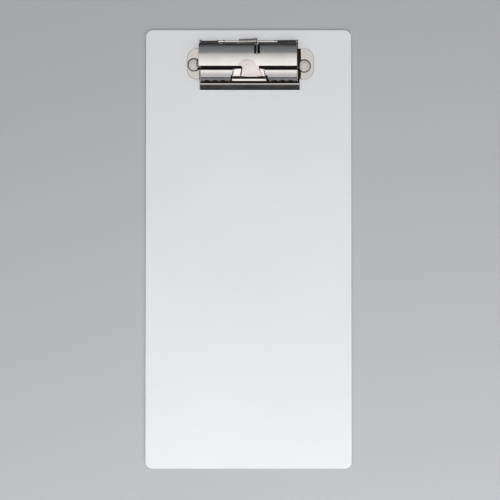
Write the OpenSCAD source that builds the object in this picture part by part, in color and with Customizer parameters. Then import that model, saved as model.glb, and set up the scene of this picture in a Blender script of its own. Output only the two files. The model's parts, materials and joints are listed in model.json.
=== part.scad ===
// Narrow clipboard: a flat aluminium board with a spring clip riveted across its top end.
// Millimetres. X across the board, +Y towards the clip end, +Z up out of the writing face.
// Origin: centre of the board's back face. The clip's side view is worked out from its hinge pin.

/* [Board] */
// Width of the board
board_w = 100; // [90:1:160]
// Length of the board
board_l = 213; // [180:1:330]
// Thickness of the board
board_t = 1.5; // [1.2:0.1:3]
// Corner radius of the board
board_r = 3.5; // [1:0.5:8]

/* [Clip base] */
// Thickness of the base, the jaw and the cover
sheet_t = 0.8; // [0.7:0.05:0.9]
// Sideways offset of the base from the board's centre line
base_shift = 0.6; // [0:0.1:0.6]
// Width over the two ears
ear_span = 61.6; // [61:0.2:70]
// Sideways offset of the ears from the middle of the base
ear_shift = 0.3; // [0:0.1:0.4]
// Length of an ear along the board
ear_l = 15; // [12:0.5:16]
// Corner radius of an ear
ear_r = 4.5; // [2:0.5:5.5]
// Width of the base between the ears, and of its front ridge
base_w = 48.5; // [48:0.1:49]
// Height of the front ridge above the board
ridge_h = 2.35; // [2:0.05:2.6]
// Flat width of the ridge's top
ridge_top = 0.7; // [0.6:0.1:0.9]
// Run of the ridge's front slope
ridge_run = 2.2; // [2:0.1:3]

/* [Rivets] */
// Distance between the two rivets
rivet_span = 53.5; // [53:0.1:54]
// Sideways offset of the rivet pair from the board's centre line
rivet_shift = 0.25; // [0:0.05:0.3]
// How much further to the rear the left rivet sits than the right one
rivet_skew = 0.6; // [0:0.1:0.8]
// Diameter of a rivet's domed head
rivet_head_d = 6.7; // [5.8:0.1:6.8]
// Height of a rivet's domed head
rivet_head_h = 1.5; // [1:0.1:1.8]
// Diameter of a rivet's shank
rivet_d = 3.2; // [2.5:0.1:3.6]
// Diameter of the flush tail in the board's back
rivet_tail_d = 5; // [4.6:0.1:5.4]

/* [Hinge] */
// Distance of the hinge pin from the board's top edge
pin_inset = 6.1; // [5:0.1:30]
// Height of the pin's axis above the base plate
pin_rise = 1.3; // [1.3:0.05:1.4]
// Diameter of the hinge pin
pin_d = 1.3; // [1.1:0.05:1.35]

/* [Jaw] */
// Width of the toothed jaw and of the cover
jaw_w = 47.6; // [47.2:0.1:48]
// Sideways offset of the toothed jaw
jaw_shift = 0.1; // [0:0.1:0.2]
// Sideways offset of the cover
cover_shift = -0.4; // [-0.4:0.1:0]
// Height of the crown above the base plate
crown_rise = 8; // [7.9:0.05:8.2]
// Distance from the pin forward to the crown, the cover's front edge
crown_reach = 12.57; // [12.4:0.01:12.7]
// Width of the slot between the cover and the toothed jaw
slot_w = 1.77; // [1.4:0.01:1.9]
// Distance from the pin forward to the tips of the teeth
tooth_reach = 20; // [19.8:0.1:20.2]
// Width of a rounded notch between two teeth
notch_w = 2.65; // [2:0.05:3]
// Spacing of the notches
notch_pitch = 3.85; // [3.6:0.05:4]

/* [Spring] */
// Diameter of the spring's wire
wire_d = 0.7; // [0.6:0.05:0.75]
// Diameter of the coil, measured at the middle of the wire
coil_d = 2.6; // [2.4:0.05:2.7]
// Number of whole turns
coil_turns = 10; // [9:1:11]
// Distance between the spring's two legs, across the board
coil_l = 8.6; // [8.4:0.1:9]

/* [Hidden] */
$fn = 96;

// Clearances
running_gap = 0.05;      // round a pin that turns, on the radius
seat_gap = 0.02;         // round a pin or rivet that stays put, on the radius
nest_gap = 0.12;         // between the cover and the cheeks under it
past = 1;                // how far a cutter runs past what it cuts

// Levels
z_plate = board_t + sheet_t;
z_pin = z_plate + pin_rise;
z_crown = z_plate + crown_rise;
z_ridge = board_t + ridge_h;

// Places along the board
y_pin = board_l / 2 - pin_inset;
y_crown = y_pin - crown_reach;
y_slot = y_crown - slot_w;
y_tip = y_pin - tooth_reach;
y_ridge = y_tip - 0.3;
y_foot = y_ridge - ridge_top - ridge_run;
y_ears = y_crown + 1.95;
y_rivets = y_crown + 1.2;       // halfway between the two rivets
y_plate_end = y_pin + 0.5;

// Side view of the cover: one arc from the crown down to the pin, angles from the vertical
cover_overrun = 0.35;    // how far the cover's rear edge passes the pin's axis
rear_angle = 45.2;
cover_r = (crown_reach + cover_overrun) / sin(rear_angle);
cover_z = z_crown - cover_r;

// Tongue at the front of the cover, which presses on the jaw's hump
tongue_r = 13.4;
tongue_angle = 22;
tongue_left = [-3.1, -3.95];    // left edge at the slot and at the end
tongue_right = [4.65, 7.1];     // right edge at the slot and at the end

// Side view of the toothed jaw, from the slot down: an arc, a tighter arc, and straight teeth
jaw_a = [20, 38, 62];    // slopes at the slot, between the arcs, and of the teeth
jaw_r = [12, 3.5];
tip_rise = 0.53;         // height of a tooth's outer edge above the plate
y_bend = y_slot - jaw_r[0] * (sin(jaw_a[1]) - sin(jaw_a[0]));
y_teeth = y_bend - jaw_r[1] * (sin(jaw_a[2]) - sin(jaw_a[1]));
z_teeth = z_plate + tip_rise + (y_teeth - y_tip) * tan(jaw_a[2]);
z_bend = z_teeth + jaw_r[1] * (cos(jaw_a[1]) - cos(jaw_a[2]));
jaw_y = y_bend + jaw_r[0] * sin(jaw_a[1]);
jaw_z = z_bend - jaw_r[0] * cos(jaw_a[1]);
bend_y = y_bend + jaw_r[1] * sin(jaw_a[1]);
bend_z = z_bend - jaw_r[1] * cos(jaw_a[1]);

// Hump and finger lip in the middle of the toothed jaw
hump_gap = 0.03;
hump_r = tongue_r - sheet_t - hump_gap;
hump_half = 7.4;
y_hump0 = y_crown - 4.93;
y_hump1 = y_crown - 1.23;
lip_rear = [-7.4, 7.4];         // sides of the finger tab at its wall
lip_front = [-8.4, 9.2];        // sides at the lip's front edge
y_lip = [y_crown - 5.73, y_crown - 6.77];
z_lip = [z_plate + 3, z_plate + 2.75];
window_rear = [-8.3, 8.4];      // sides of the window behind the lip
window_front = [-9.3, 10.2];    // sides of the window at the teeth
y_window = y_crown - 4.23;
first_notch = 12.5;             // notch nearest the middle, from the jaw's middle
notch_depth = 2.45;             // length of a notch along the sheet
notches_a_side = 3;

// Cheeks, lugs and eyes on the pin
eye_r = 1.15;
cheek_band = 3;
lug_out = 12.9;                 // outer face of a base lug, from the base's middle
cover_notch_half = 14.2;
y_cover_notch = y_pin - 1.1;
corner_cut = [1.6, 2.5];

// Spring
coil_x0 = -4.6;
leg_gap = 0.06;
leg_arc_r = cover_r + wire_d / 2 + leg_gap;
leg_angle = 22;                 // where the moving leg turns down into the cover
hook_r = 0.6;
hook_l = 1.2;
base_leg_l = 7.4;
base_leg_z = z_plate + wire_d / 2 + 0.03;
pin_dy = y_pin - y_crown;
pin_dz = z_pin - cover_z;
leg_leave = atan2(pin_dy, pin_dz) + 2.5;
leg_reach = coil_d / 2 + norm([pin_dy, pin_dz]) * cos(2.5);
leg_meet = leg_leave - acos(leg_reach / leg_arc_r);     // where the leg meets its arc over the cover

// Rectangle with rounded corners, centred on the origin
module rounded_rect(w, l, r) {
    square([w, l - 2 * r], center = true);
    square([w - 2 * r, l], center = true);
    for (sx = [-1, 1], sy = [-1, 1]) translate([sx * (w / 2 - r), sy * (l / 2 - r)]) circle(r = r);
}

// Extrudes a side view, drawn as (y, z), from x0 to x1
module across(x0, x1) {
    translate([x0, 0, 0]) rotate([90, 0, 90]) linear_extrude(x1 - x0) children();
}

// Extrudes a plan, drawn as (x, y), through the whole height of the clip
module through() {
    translate([0, 0, -past]) linear_extrude(z_crown + 2 * past) children();
}

// Band of a ring in the side view; angles from the vertical, positive to the rear
module arc_band(y, z, r, t, a0, a1) {
    far = 1.5 * r;
    am = (a0 + a1) / 2;
    translate([y, z]) intersection() {
        difference() {
            circle(r = r);
            circle(r = r - t);
        }
        polygon([[0, 0], far * [sin(a0), cos(a0)], far * [sin(am), cos(am)], far * [sin(a1), cos(a1)]]);
    }
}

// Cylinder along X at the pin, for the pin's bores
module pin_bore(x0, x1, gap) {
    across(x0 - past, x1 + past) translate([y_pin, z_pin]) circle(d = pin_d + 2 * gap);
}

// Moves a rivet or its hole to its place; side is -1 on the left and 1 on the right
module at_rivet(side) {
    x = rivet_shift + side * rivet_span / 2;
    translate([x, y_rivets - side * rivet_skew / 2, 0]) children();
}

// Countersunk hole for a rivet, or with no gap the rivet's shank and tail
module rivet_stem(gap, top) {
    tail_h = 0.9;
    translate([0, 0, tail_h / 2]) cylinder(d = rivet_d + 2 * gap, h = top - tail_h / 2);
    cylinder(d1 = rivet_tail_d + 2 * gap, d2 = rivet_d + 2 * gap, h = tail_h);
}

// A rivet with a domed head on the ear and a flush tail in the board's back
module rivet(side) {
    dome_r = (pow(rivet_head_d / 2, 2) + pow(rivet_head_h, 2)) / (2 * rivet_head_h);
    at_rivet(side) {
        rivet_stem(0, z_plate + 0.1);
        translate([0, 0, z_plate]) rotate_extrude() intersection() {
            translate([0, rivet_head_h - dome_r]) circle(r = dome_r);
            square([rivet_head_d / 2, rivet_head_h]);
        }
    }
}

module rivet_holes() {
    for (side = [-1, 1]) at_rivet(side) {
        rivet_stem(seat_gap, z_plate + past);
        translate([0, 0, -past]) cylinder(d = rivet_tail_d + 2 * seat_gap, h = past);
    }
}

module board() {
    color("gainsboro") difference() {
        linear_extrude(board_t) rounded_rect(board_w, board_l, board_r);
        rivet_holes();
    }
}

// Plan of the base plate behind its ridge
module base_plan() {
    rear_half = lug_out + 0.3;
    y_rear = y_ears + ear_l / 2 - 0.5;
    translate([-base_w / 2, y_ridge - ridge_top]) square([base_w, y_rear - y_ridge + ridge_top]);
    translate([-rear_half, y_rear - 1]) square([2 * rear_half, y_plate_end - y_rear + 1]);
    translate([ear_shift, y_ears]) rounded_rect(ear_span, ear_l, ear_r);
}

// Side view of the ridge: a wall behind, and a slope that paper slides up in front
module ridge_profile() {
    y_wall = y_ridge - ridge_top;
    foot_h = 0.5;
    rise = z_ridge - board_t - foot_h;
    slope = rise / ridge_run;
    inner_z = z_ridge - sheet_t / cos(atan(slope));
    inner_y = y_wall - (inner_z - board_t) / slope;
    polygon([[y_ridge, z_ridge], [y_wall, z_ridge], [y_foot, board_t + foot_h], [y_foot, board_t],
             [inner_y, board_t], [y_wall, inner_z], [y_wall, board_t], [y_ridge, board_t]]);
}

// Bridge on the base plate that holds down the spring's fixed leg
module leg_bridge() {
    bridge_y = [y_pin - 6, y_pin - 4];
    half_in = wire_d / 2 + 0.4;
    wall = 0.7;
    z_in = base_leg_z + wire_d / 2 + 0.02;
    for (x = [-half_in - wall, half_in]) translate([coil_x0 + x, bridge_y[0], z_plate - 0.2])
        cube([wall, bridge_y[1] - bridge_y[0], z_in - z_plate + 0.2]);
    translate([coil_x0 - half_in - wall, bridge_y[0], z_in])
        cube([2 * (half_in + wall), bridge_y[1] - bridge_y[0], wall]);
}

module clip_base() {
    coil_room = 0.9;
    leg_room = wire_d / 2 + 0.4;
    ridge_corner = 1.2;
    color("silver") difference() {
        union() {
            translate([base_shift, 0, board_t]) linear_extrude(sheet_t) base_plan();
            intersection() {
                across(base_shift - base_w / 2, base_shift + base_w / 2) ridge_profile();
                through() translate([base_shift, y_foot + 5]) rounded_rect(base_w, 10, ridge_corner);
            }
            for (side = [-1, 1]) across(base_shift + side * (lug_out - sheet_t / 2) - sheet_t / 2,
                                        base_shift + side * (lug_out - sheet_t / 2) + sheet_t / 2) {
                translate([y_pin, z_pin]) circle(r = eye_r);
                polygon([[y_pin - 4, board_t], [y_pin - 1, z_pin], [y_pin + eye_r, z_pin],
                         [y_plate_end, board_t]]);
            }
            leg_bridge();
        }
        rivet_holes();
        pin_bore(-jaw_w / 2, jaw_w / 2, seat_gap);
        translate([coil_x0 - coil_room, y_pin - 2.8, 0])
            cube([coil_l + 2 * coil_room, 5, z_plate + 0.1]);
        translate([coil_x0 - leg_room, y_pin - 7.2, 0]) cube([2 * leg_room, 6, z_plate + 0.1]);
    }
}

module rivet_left() {
    color("lightgray") rivet(-1);
}

module rivet_right() {
    color("lightgray") rivet(1);
}

// Straight pin with a small peened dome at each end
module hinge_pin() {
    half = jaw_w / 2 + 0.05;
    head_r = pin_d / 2 + 0.25;
    head_h = 0.3;
    dome_r = (head_r * head_r + head_h * head_h) / (2 * head_h);
    color("gray") translate([jaw_shift, y_pin, z_pin]) rotate([0, 90, 0]) {
        translate([0, 0, -half]) cylinder(d = pin_d, h = 2 * half);
        for (side = [0, 1]) mirror([0, 0, side]) translate([0, 0, half]) rotate_extrude() intersection() {
            translate([0, head_h - dome_r]) circle(r = dome_r);
            square([head_r, head_h]);
        }
    }
}

// Unit vector along v
function unit(v) = v / norm(v);

// Point of the side view at angle a from the vertical and distance r from a centre, as (y, z)
function polar(centre, r, a) = centre + r * [sin(a), cos(a)];

// Direction of a route at its point i
function heading(route, i) = unit(route[min(i + 1, len(route) - 1)] - route[max(i - 1, 0)]);

// Ring of points round a route's point, square to the heading h
function wire_ring(centre, h, r, sides) = let (
    u = unit([1, 0, 0] - h[0] * h),
    v = cross(h, u)
) [for (k = [0 : sides - 1]) centre + r * (cos(k * 360 / sides) * u + sin(k * 360 / sides) * v)];

// Round wire swept along a route of points
module wire(route, r, sides) {
    last = len(route) - 1;
    rings = [for (i = [0 : last]) wire_ring(route[i], heading(route, i), r, sides)];
    walls = [for (i = [0 : last - 1], k = [0 : sides - 1]) let (n = (k + 1) % sides)
             [i * sides + k, (i + 1) * sides + k, (i + 1) * sides + n, i * sides + n]];
    start_cap = [for (k = [0 : sides - 1]) k];
    end_cap = [for (k = [0 : sides - 1]) last * sides + sides - 1 - k];
    polyhedron(points = [for (ring = rings) each ring], faces = concat([start_cap], walls, [end_cap]));
}

// Coil round the pin, a fixed leg under the bridge and a moving leg over the cover
module torsion_spring() {
    turn_points = 16;
    pin = [y_pin, z_pin];
    arch = [y_crown, cover_z];
    base_tip = [y_pin - base_leg_l, base_leg_z];
    reach = pin - base_tip;
    enter = 180 + asin(coil_d / 2 / norm(reach)) - atan2(reach[1], reach[0]);
    sweep = 360 * coil_turns + enter - leg_leave;
    steps = round(sweep / 360 * turn_points);
    x_end = coil_x0 + coil_l;
    hook = polar(arch, leg_arc_r - hook_r, leg_angle);
    tip = polar(hook, hook_r, leg_angle - 90) - hook_l * [sin(leg_angle), cos(leg_angle)];
    route = concat(
        [[coil_x0, base_tip[0], base_tip[1]]],
        [for (i = [0 : steps]) let (p = polar(pin, coil_d / 2, enter - sweep * i / steps))
            [coil_x0 + coil_l * i / steps, p[0], p[1]]],
        [for (a = [leg_meet : -5 : leg_angle + 2]) let (p = polar(arch, leg_arc_r, a)) [x_end, p[0], p[1]]],
        [for (a = [0 : -22.5 : -90]) let (p = polar(hook, hook_r, leg_angle + a)) [x_end, p[0], p[1]]],
        [[x_end, tip[0], tip[1]]]
    );
    color("dimgray") wire(route, wire_d / 2, 8);
}

// Side view of the toothed jaw's sheet, or of a thicker band under the same outer surface
module jaw_profile(t) {
    out = [-sin(jaw_a[2]), cos(jaw_a[2])];
    patch = (t - 0.1) / 2;      // radius of the discs that join the three stretches
    arc_band(jaw_y, jaw_z, jaw_r[0], t, -jaw_a[1], -jaw_a[0]);
    arc_band(bend_y, bend_z, jaw_r[1], t, -jaw_a[2], -jaw_a[1]);
    polygon([[y_teeth, z_teeth], [y_tip, z_plate + tip_rise],
             [y_tip, z_plate + tip_rise] - t * out, [y_teeth, z_teeth] - t * out]);
    translate([y_bend + t / 2 * sin(jaw_a[1]), z_bend - t / 2 * cos(jaw_a[1])]) circle(r = patch);
    translate([y_teeth, z_teeth] - t / 2 * out) circle(r = min(patch, jaw_r[1] / 4));
}

// Side view of a jaw cheek: under the teeth's sheet, under the cover, and round to the pin
module cheek_profile() {
    under = sheet_t + nest_gap;
    front_a = asin((y_crown - y_slot) / cover_r);
    intersection() {
        union() {
            jaw_profile(cheek_band);
            arc_band(y_crown, cover_z, cover_r - under, cheek_band, -front_a, rear_angle);
        }
        translate([y_tip - 5, z_plate + 0.3]) square([30, 20]);
    }
    translate([y_pin, z_pin]) circle(r = eye_r);
}

// Middle of the jaw: a hump under the tongue, a steep wall and a finger lip
module finger_tab() {
    a0 = -asin((y_crown - y_hump0) / hump_r);
    a1 = -asin((y_crown - y_hump1) / hump_r);
    hump_z = z_crown - tongue_r;
    z_top = hump_z + hump_r * cos(a0);
    corner = 2;
    intersection() {
        across(-hump_half, hump_half) arc_band(y_crown, hump_z, hump_r, sheet_t, a0, a1);
        through() translate([0, y_hump1 - 5]) rounded_rect(2 * hump_half, 10, corner);
    }
    for (side = [0, 1]) mirror([side, 0, 0]) across(hump_half - sheet_t, hump_half) intersection() {
        translate([y_crown, hump_z]) circle(r = hump_r - 0.1);
        difference() {
            translate([y_hump0 + 0.2, jaw_z]) square([y_slot - y_hump0 - 0.2, 2 * jaw_r[0]]);
            translate([jaw_y, jaw_z]) circle(r = jaw_r[0] - sheet_t);
        }
    }
    intersection() {
        across(lip_front[0], lip_front[1])
            polygon([[y_hump0, z_top], [y_lip[0], z_lip[0]], [y_lip[1], z_lip[1]],
                     [y_lip[1], z_lip[1] - sheet_t], [y_lip[0] + 0.65, z_lip[0] - 0.68],
                     [y_hump0 + 0.85, z_top - 0.1]]);
        through() polygon([[lip_front[0], y_lip[1]], [lip_front[1], y_lip[1]], [lip_rear[1], y_lip[0]],
                           [lip_rear[1], y_hump1], [lip_rear[0], y_hump1], [lip_rear[0], y_lip[0]]]);
    }
}

// Notch between two teeth, cut square to the sheet
module tooth_notch(x) {
    a = jaw_a[2];
    top = [y_tip, z_plate + tip_rise] + (notch_depth - notch_w / 2) * [cos(a), sin(a)];
    translate([x, top[0], top[1]]) rotate([a, 0, 0]) {
        translate([0, 0, -2]) cylinder(d = notch_w, h = 4);
        translate([-notch_w / 2, -notch_depth - 1, -2]) cube([notch_w, notch_depth + 1, 4]);
    }
}

module toothed_jaw() {
    half = jaw_w / 2;
    color("lightsteelblue") translate([jaw_shift, 0, 0]) difference() {
        union() {
            difference() {
                across(-half, half) jaw_profile(sheet_t);
                through() polygon([[window_front[0], y_tip - past], [window_front[1], y_tip - past],
                                   [window_rear[1], y_window], [hump_half - 0.4, y_window],
                                   [hump_half - 0.4, y_slot + past], [0.4 - hump_half, y_slot + past],
                                   [0.4 - hump_half, y_window], [window_rear[0], y_window]]);
                for (side = [-1, 1], i = [0 : notches_a_side - 1])
                    tooth_notch(side * (first_notch + i * notch_pitch));
            }
            for (side = [0, 1]) mirror([side, 0, 0]) across(half - sheet_t, half) cheek_profile();
            finger_tab();
        }
        pin_bore(-half, half, running_gap);
    }
}

// Plan of the cover without its tongue, with the notch in its rear edge
module cover_plan() {
    half = jaw_w / 2;
    y_rear = y_pin + cover_overrun;
    difference() {
        translate([-half, y_crown]) square([jaw_w, y_rear - y_crown]);
        translate([-cover_notch_half, y_cover_notch]) square([2 * cover_notch_half, 3]);
        for (side = [-1, 1]) translate([side * half, y_rear])
            square([2 * corner_cut[0], 2 * corner_cut[1]], center = true);
    }
}

module jaw_cover() {
    half = jaw_w / 2;
    hole_r = wire_d / 2 + 0.15;
    tongue_end = y_crown - tongue_r * sin(tongue_angle);
    end_bow = 16;
    tongue_mid = (tongue_left[1] + tongue_right[1]) / 2;
    color("whitesmoke") difference() {
        union() {
            translate([cover_shift, 0, 0]) intersection() {
                across(-half, half) arc_band(y_crown, cover_z, cover_r, sheet_t, 0, rear_angle);
                through() cover_plan();
            }
            intersection() {
                across(tongue_left[1], tongue_right[1])
                    arc_band(y_crown, z_crown - tongue_r, tongue_r, sheet_t, -tongue_angle - 1, 0);
                through() intersection() {
                    polygon([[tongue_left[0], y_crown + past], [tongue_left[1], tongue_end],
                             [tongue_left[1], tongue_end - past], [tongue_right[1], tongue_end - past],
                             [tongue_right[1], tongue_end], [tongue_right[0], y_crown + past]]);
                    translate([tongue_mid, tongue_end + end_bow]) circle(r = end_bow);
                }
            }
            for (side = [-1, 1]) translate([cover_shift, 0, 0])
                across(side * (cover_notch_half + sheet_t / 2) - sheet_t / 2,
                       side * (cover_notch_half + sheet_t / 2) + sheet_t / 2) {
                    translate([y_pin, z_pin]) circle(r = eye_r);
                    arc_band(y_crown, cover_z, cover_r - 0.1, 3, 33, rear_angle);
                }
        }
        pin_bore(-half, half, running_gap);
        translate([coil_x0 + coil_l, y_crown, cover_z]) rotate([-leg_angle, 0, 0])
            translate([0, -hook_r, cover_r - 2]) cylinder(r = hole_r, h = 4);
    }
}

board();
clip_base();
rivet_left();
rivet_right();
hinge_pin();
torsion_spring();
toothed_jaw();
jaw_cover();
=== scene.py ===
import json
import math
import bpy
import numpy as np
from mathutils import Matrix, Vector
from mathutils.geometry import delaunay_2d_cdt


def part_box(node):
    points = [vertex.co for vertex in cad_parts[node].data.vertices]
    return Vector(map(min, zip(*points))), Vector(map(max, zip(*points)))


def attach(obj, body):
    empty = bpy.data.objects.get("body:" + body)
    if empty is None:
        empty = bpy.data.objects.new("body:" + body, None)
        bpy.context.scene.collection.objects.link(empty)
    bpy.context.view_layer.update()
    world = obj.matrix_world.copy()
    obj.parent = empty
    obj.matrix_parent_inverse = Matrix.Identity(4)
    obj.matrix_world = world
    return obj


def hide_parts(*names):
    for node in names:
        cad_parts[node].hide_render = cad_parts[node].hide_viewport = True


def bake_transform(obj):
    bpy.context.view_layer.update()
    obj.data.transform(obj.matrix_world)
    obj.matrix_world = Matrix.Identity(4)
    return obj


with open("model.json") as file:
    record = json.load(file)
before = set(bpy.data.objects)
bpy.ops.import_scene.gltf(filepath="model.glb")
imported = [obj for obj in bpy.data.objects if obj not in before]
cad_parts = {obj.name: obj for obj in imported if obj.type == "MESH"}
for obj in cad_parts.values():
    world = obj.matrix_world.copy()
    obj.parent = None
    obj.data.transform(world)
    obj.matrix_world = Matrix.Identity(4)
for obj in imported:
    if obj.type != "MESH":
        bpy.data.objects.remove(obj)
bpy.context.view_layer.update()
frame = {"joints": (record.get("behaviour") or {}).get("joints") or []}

# ---------------------------------------------------------------- places, in millimetres, from the frame
MM = 0.001


def box_mm(node):
    """Lowest and highest corner of a CAD node, in millimetres."""
    lo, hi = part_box(node)
    return np.array(lo) / MM, np.array(hi) / MM


board_hi = box_mm("board")[1]
base_lo, base_hi = box_mm("clip_base")
cover_lo, cover_hi = box_mm("jaw_cover")
jaw_lo, jaw_hi = box_mm("toothed_jaw")
rivet_box = {side: box_mm("rivet_" + side) for side in ("left", "right")}

SHEET = 0.8                                  # thickness of the pressed parts
BOARD_TOP = board_hi[2]
PLATE = BOARD_TOP + SHEET                    # top of the base plate
PIN_Y, PIN_Z = (v / MM for v in frame["joints"][0]["pos_m"][1:])
EAR_SHIFT = 0.3                              # the ears' middle, from the middle of the base
BASE_X = (base_lo[0] + base_hi[0]) / 2 - EAR_SHIFT
JAW_X = (jaw_lo[0] + jaw_hi[0]) / 2
COVER_X = (cover_lo[0] + cover_hi[0]) / 2
CROWN_Z = cover_hi[2]
CROWN_Y = PIN_Y - 12.57                      # the cover's front edge
SLOT_Y = CROWN_Y - 1.77                      # the toothed jaw's rear edge
TIP_Y = jaw_lo[1]
HALF = (jaw_hi[0] - jaw_lo[0]) / 2           # half width of the jaw and of the cover
REAR_Y = PIN_Y + 0.35                        # the cover's rear edge
EYE_R = 0.95                                 # round the pin, on the cheeks and lugs
LUG_X = 12.5                                 # the base's lugs on the pin, from the base's middle
BOARD_CORNER = 3.5
EAR_Y, EAR_HALF_LENGTH, EAR_CORNER = CROWN_Y + 1.95, 7.5, 4.5
RIDGE_HALF = 24.25                           # half width of the base between its ears, and of its ridge
RIDGE_RISE, RIDGE_TOP, RIDGE_RUN = 2.5, 0.6, 2.5   # its height over the board, and its flat top and slope
COIL_WINDOW = (-5.5, 4.9)                    # sides of the cut in the base under the spring's coil
LEG_SLOT = (-5.35, -3.85)                    # sides of the slot that runs on from it under the fixed leg
SHANK_R, TAIL_R, HOLE_GAP = 1.6, 2.5, 0.02   # the rivets, and the gap round them
LEG_END = math.radians(22)                   # where the spring's moving leg goes down into the cover

# Finishes of a piece, by the order of its materials; all but the plated and the pressed one are painted
# shade
PLATED, INSIDE_SHADE, TEETH_SHADE, PRESSED, PAINTED_SHADE = range(5)
BASE_PAINTED_SHADE = 1

# Side view of the cover
REAR_ANGLE = math.radians(45.2)
COVER_R = (REAR_Y - CROWN_Y) / math.sin(REAR_ANGLE)
COVER_Z = CROWN_Z - COVER_R
FLAT_A = math.radians(38.5)                  # the cover runs straight from this slope to its rear edge
TONGUE_R = 13.4
TONGUE_END = math.radians(23)

# Side view of the toothed jaw: an arc, a tighter arc and straight teeth
JAW_A = [math.radians(v) for v in (20, 38, 62)]
JAW_R = (12.0, 3.5)
TIP_Z = PLATE + 0.53
BEND_Y = SLOT_Y - JAW_R[0] * (math.sin(JAW_A[1]) - math.sin(JAW_A[0]))
TEETH_Y = BEND_Y - JAW_R[1] * (math.sin(JAW_A[2]) - math.sin(JAW_A[1]))
TEETH_Z = TIP_Z + (TEETH_Y - TIP_Y) * math.tan(JAW_A[2])
BEND_Z = TEETH_Z + JAW_R[1] * (math.cos(JAW_A[1]) - math.cos(JAW_A[2]))
SLOT_Z = BEND_Z + JAW_R[0] * (math.cos(JAW_A[0]) - math.cos(JAW_A[1]))


# ---------------------------------------------------------------- outlines
def from_vertical(y, z, r, a0, a1, steps):
    """Points of an arc in the side view; angles in degrees from the vertical, positive to the rear."""
    a = np.radians(np.linspace(a0, a1, steps + 1))
    return np.stack([y + r * np.sin(a), z + r * np.cos(a)], 1)


def circle(x, y, r, steps=48):
    """A circle run clockwise, as a hole's edge."""
    a = np.linspace(0, -2 * math.pi, steps, endpoint=False)
    return np.stack([x + r * np.cos(a), y + r * np.sin(a)], 1)


def rounded(corners, steps=6):
    """Closed outline through corners given as (x, y, radius), with an arc in each corner."""
    points = []
    for i, (x, y, r) in enumerate(corners):
        p = np.array([x, y], float)
        a = np.array(corners[i - 1][:2], float) - p
        b = np.array(corners[(i + 1) % len(corners)][:2], float) - p
        a, b = a / np.linalg.norm(a), b / np.linalg.norm(b)
        half = math.acos(np.clip(a @ b, -1, 1)) / 2
        if r == 0 or half > 1.56:
            points.append(p)
            continue
        centre = p + (a + b) / np.linalg.norm(a + b) * r / math.sin(half)
        start, end = p + a * r / math.tan(half) - centre, p + b * r / math.tan(half) - centre
        a0, a1 = math.atan2(start[1], start[0]), math.atan2(end[1], end[0])
        turn = (a1 - a0 + math.pi) % (2 * math.pi) - math.pi
        for k in range(steps + 1):
            t = a0 + turn * k / steps
            points.append(centre + r * np.array([math.cos(t), math.sin(t)]))
    return np.array(points)


def divided(loop, step):
    """The loop with its long sides divided so that no side is longer than step."""
    out = []
    for p, q in zip(loop, np.roll(loop, -1, 0)):
        n = max(1, math.ceil(np.linalg.norm(q - p) / step))
        out += [p + (q - p) * k / n for k in range(n)]
    return np.array(out)


def inward(loop):
    """Mitred inward vectors of a loop that has its material on the left."""
    before, after = loop - np.roll(loop, 1, 0), np.roll(loop, -1, 0) - loop
    left = [np.stack([-e[:, 1], e[:, 0]], 1) / np.linalg.norm(e, axis=1)[:, None] for e in (before, after)]
    return (left[0] + left[1]) / (1 + (left[0] * left[1]).sum(1))[:, None]


def inside(points, loops):
    """Which points lie in the material that the loops enclose."""
    count = np.zeros(len(points), int)
    for loop in loops:
        p, q = loop, np.roll(loop, -1, 0)
        for (x0, y0), (x1, y1) in zip(p, q):
            if y0 == y1:
                continue
            between = (points[:, 1] >= min(y0, y1)) & (points[:, 1] < max(y0, y1))
            x = x0 + (points[:, 1] - y0) * (x1 - x0) / (y1 - y0)
            count += between & (x > points[:, 0])
    return count % 2 == 1


def clear_of(points, loops, gap):
    """Which points are further than gap from every corner of the loops."""
    corners = np.concatenate(loops)
    keep = np.ones(len(points), bool)
    for start in range(0, len(points), 500):
        part = points[start:start + 500]
        far = ((part[:, None] - corners[None]) ** 2).sum(2).min(1) > gap * gap
        keep[start:start + 500] = far
    return keep


# ---------------------------------------------------------------- shells
class Shell:
    """Corners, normals and faces of one piece, gathered before its mesh is made."""

    def __init__(self):
        self.points, self.normals, self.faces, self.finish = [], [], [], []

    def add(self, points, normals, faces, finish=None):
        start = sum(len(p) for p in self.points)
        self.points.append(np.asarray(points, float))
        self.normals.append(np.asarray(normals, float))
        self.faces += [[start + i for i in f] for f in faces]
        self.finish += finish or [0] * len(faces)

    def piece(self, name, exact_normals=True):
        mesh = bpy.data.meshes.new(name)
        points = np.concatenate(self.points) * MM
        mesh.from_pydata(points.tolist(), [], self.faces)
        mesh.polygons.foreach_set("use_smooth", [True] * len(mesh.polygons))
        mesh.polygons.foreach_set("material_index", self.finish)
        if exact_normals:
            n = np.concatenate(self.normals)
            n /= np.linalg.norm(n, axis=1)[:, None]
            mesh.normals_split_custom_set_from_vertices(n.tolist())
        obj = bpy.data.objects.new(name, mesh)
        bpy.context.scene.collection.objects.link(obj)
        return obj


def frame_at(surface, u, v):
    """Place, outward normal and the two tangents of a surface given as a function of (u, v)."""
    e = 0.004
    du = (surface(u + e, v) - surface(u - e, v)) / (2 * e)
    dv = (surface(u, v + e) - surface(u, v - e)) / (2 * e)
    n = np.cross(du, dv)
    return surface(u, v), n / np.linalg.norm(n, axis=1)[:, None], du, dv


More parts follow.
